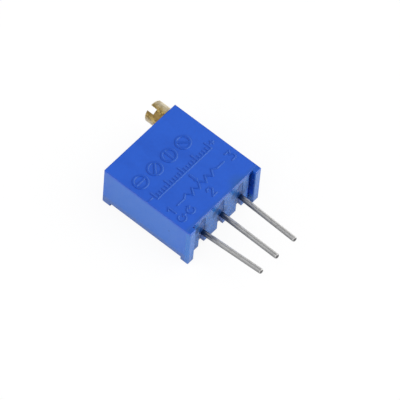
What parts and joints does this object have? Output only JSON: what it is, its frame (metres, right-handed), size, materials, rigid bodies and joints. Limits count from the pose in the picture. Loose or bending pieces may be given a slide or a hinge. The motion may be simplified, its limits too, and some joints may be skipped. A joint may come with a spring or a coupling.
{
  "type": "trimmer potentiometer",
  "caption": "Square sealed trimmer potentiometer with a slotted side adjusting screw, worm drive inside and three wire pins in a row for board mounting.",
  "frame": {"origin": "on the middle pin's axis, level with the tips of the pin side's feet, which rest on the circuit board", "axes": "-Y along the pins, away from the case; +Z out of the marked face; +X towards the side that the adjusting screw is on. It lies on the four feet of its back face, at z = -2.41 mm."},
  "size_m": [0.0096, 0.0178, 0.0049],
  "materials": {
    "case": "satin, moulded",
    "back_seal": "gloss, cast",
    "pin_seals": "gloss, cast",
    "pin_1": "tinned, satin",
    "pin_2": "tinned, satin",
    "pin_3": "tinned, satin",
    "adjusting_screw": "turned, satin",
    "o_ring": "matte",
    "retainer_clip": "rolled",
    "worm_wheel": "moulded",
    "wiper": "spring temper, bright",
    "ceramic_plate": "fired, matte",
    "resistive_track": "fired film, matte",
    "conductor_1": "fired silver film",
    "conductor_2": "fired silver film",
    "conductor_3": "fired silver film",
    "solder_1": "bright, reflowed",
    "solder_2": "bright, reflowed",
    "solder_3": "bright, reflowed",
    "overglaze": "fired glass, gloss"
  },
  "bodies": {
    "case_body": {"case": "case", "back_seal": "back_seal", "pin_seals": "pin_seals", "pin_1": "pin_1", "pin_2": "pin_2", "pin_3": "pin_3", "retainer_clip": "retainer_clip", "ceramic_plate": "ceramic_plate", "resistive_track": "resistive_track", "conductor_1": "conductor_1", "conductor_2": "conductor_2", "conductor_3": "conductor_3", "solder_1": "solder_1", "solder_2": "solder_2", "solder_3": "solder_3", "overglaze": "overglaze"},
    "screw_body": {"adjusting_screw": "adjusting_screw", "o_ring": "o_ring"},
    "rotor_body": {"worm_wheel": "worm_wheel", "wiper": "wiper"}
  },
  "joints": [
    {"name": "screw_turn", "type": "hinge", "parent": "case_body", "child": "screw_body", "pos_m": [0.00358, 0.00535, 0.00121], "axis": [0, 1, 0], "range_deg": [-4500, 4500]},
    {"name": "rotor_turn", "type": "hinge", "parent": "case_body", "child": "rotor_body", "pos_m": [-0.00008, 0.00535, 0.00121], "axis": [0, 0, 1], "range_deg": [-150, 150]}
  ],
  "couplings": [
    {"joint": "rotor_turn", "follows": "screw_turn", "ratio": 0.033333}
  ]
}
